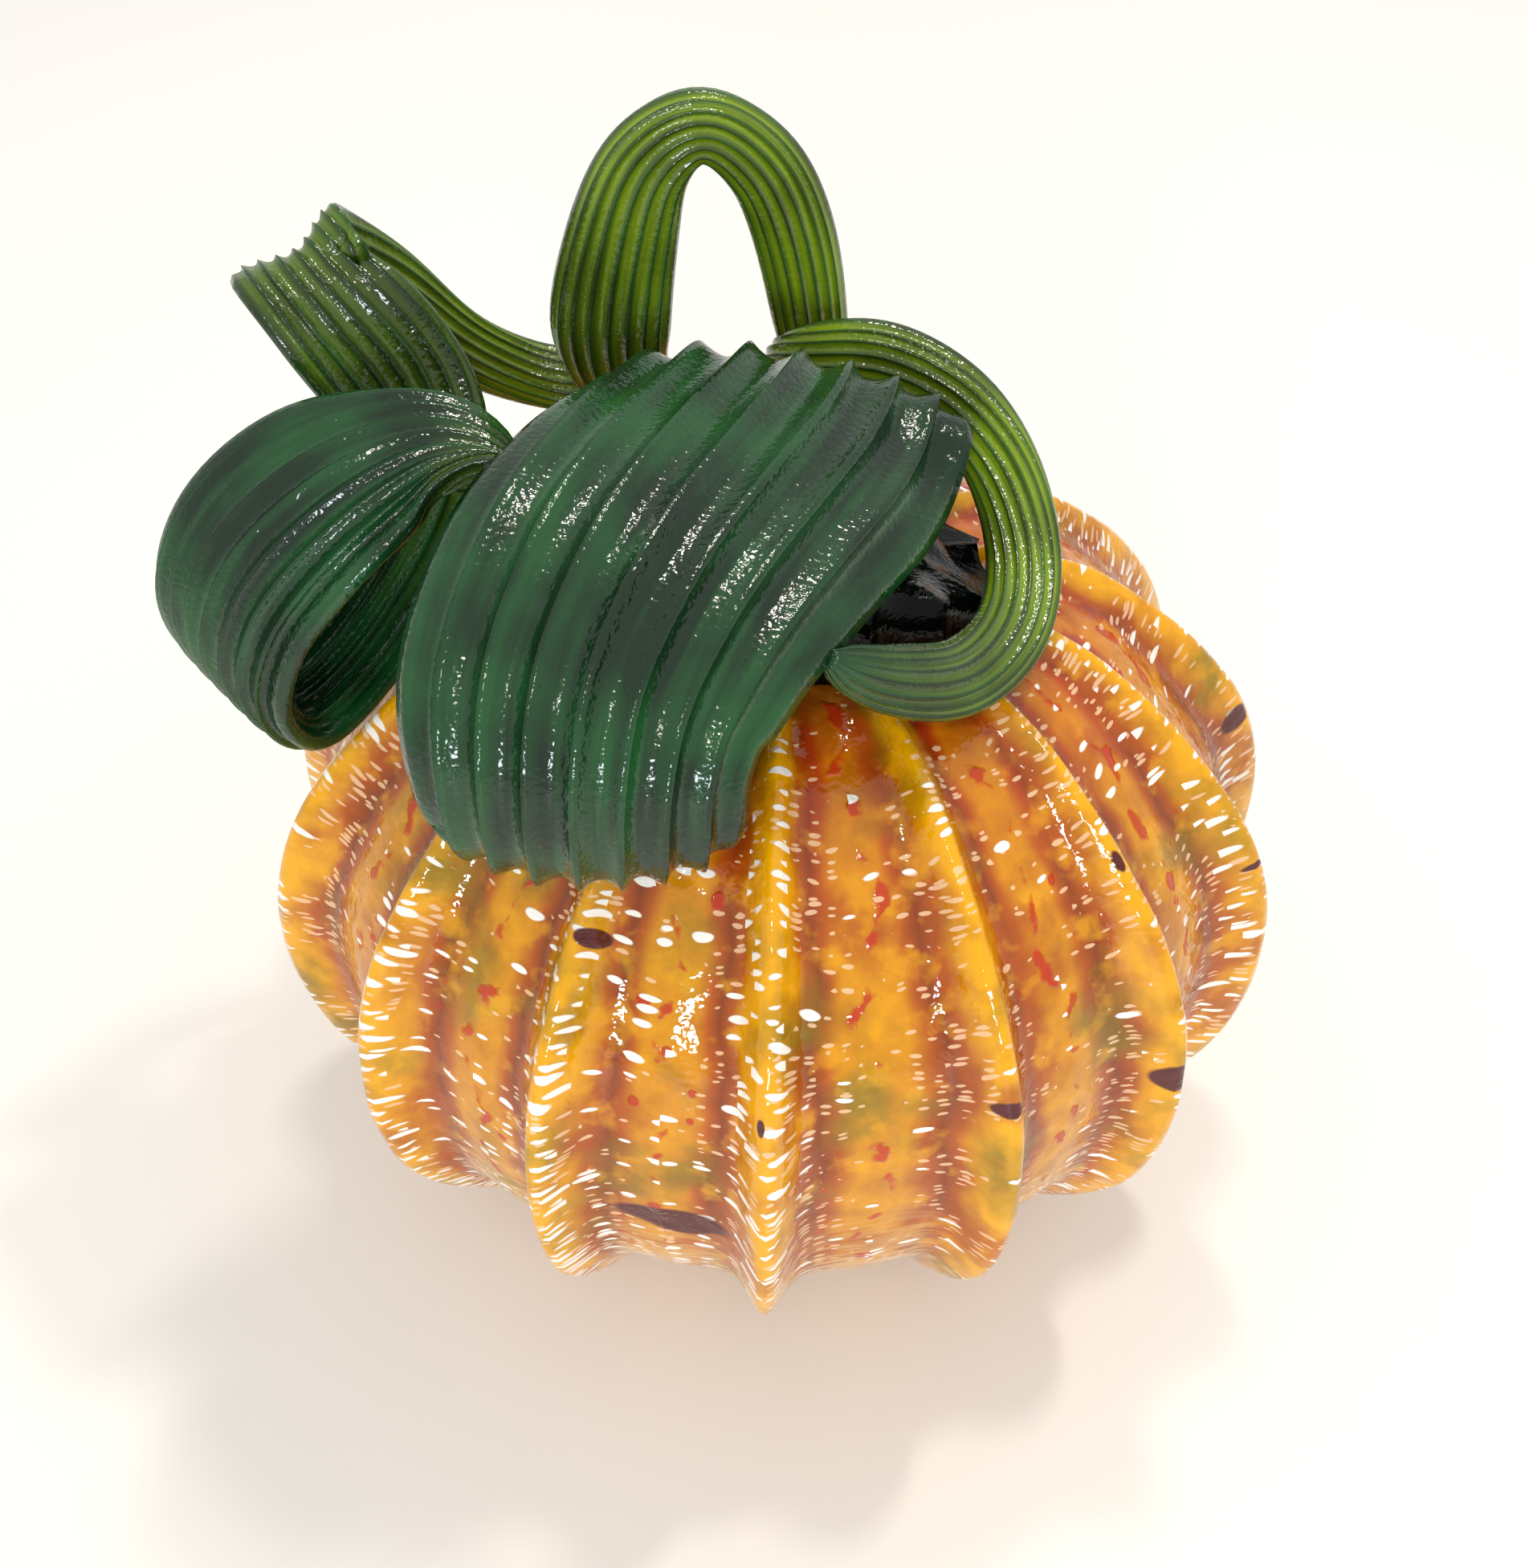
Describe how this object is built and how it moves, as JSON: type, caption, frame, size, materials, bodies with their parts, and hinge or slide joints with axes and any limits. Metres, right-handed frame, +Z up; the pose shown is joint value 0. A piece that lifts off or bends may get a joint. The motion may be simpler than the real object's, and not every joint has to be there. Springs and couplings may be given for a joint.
{
  "type": "blown glass pumpkin ornament",
  "caption": "Hollow ribbed amber glass pumpkin with a curled, ribbed green glass stem, a table ornament that stands on a flat spot.",
  "frame": {"origin": "middle of the flat spot under the body, on the body's own axis", "axes": "+Z up along the body's axis, -Y towards the front, where the wide fold of the stem hangs down, +X to the right as seen from the front"},
  "size_m": [0.1341, 0.1267, 0.1365],
  "materials": {
    "amber_glass": "fire-polished amber glass over orange and white frit, glossy",
    "green_glass": "fire-polished deep green glass, glossy, paler where it is drawn thin"
  },
  "bodies": {
    "root": {"blown_body": "amber_glass", "drawn_stem": "green_glass"}
  },
  "joints": []
}
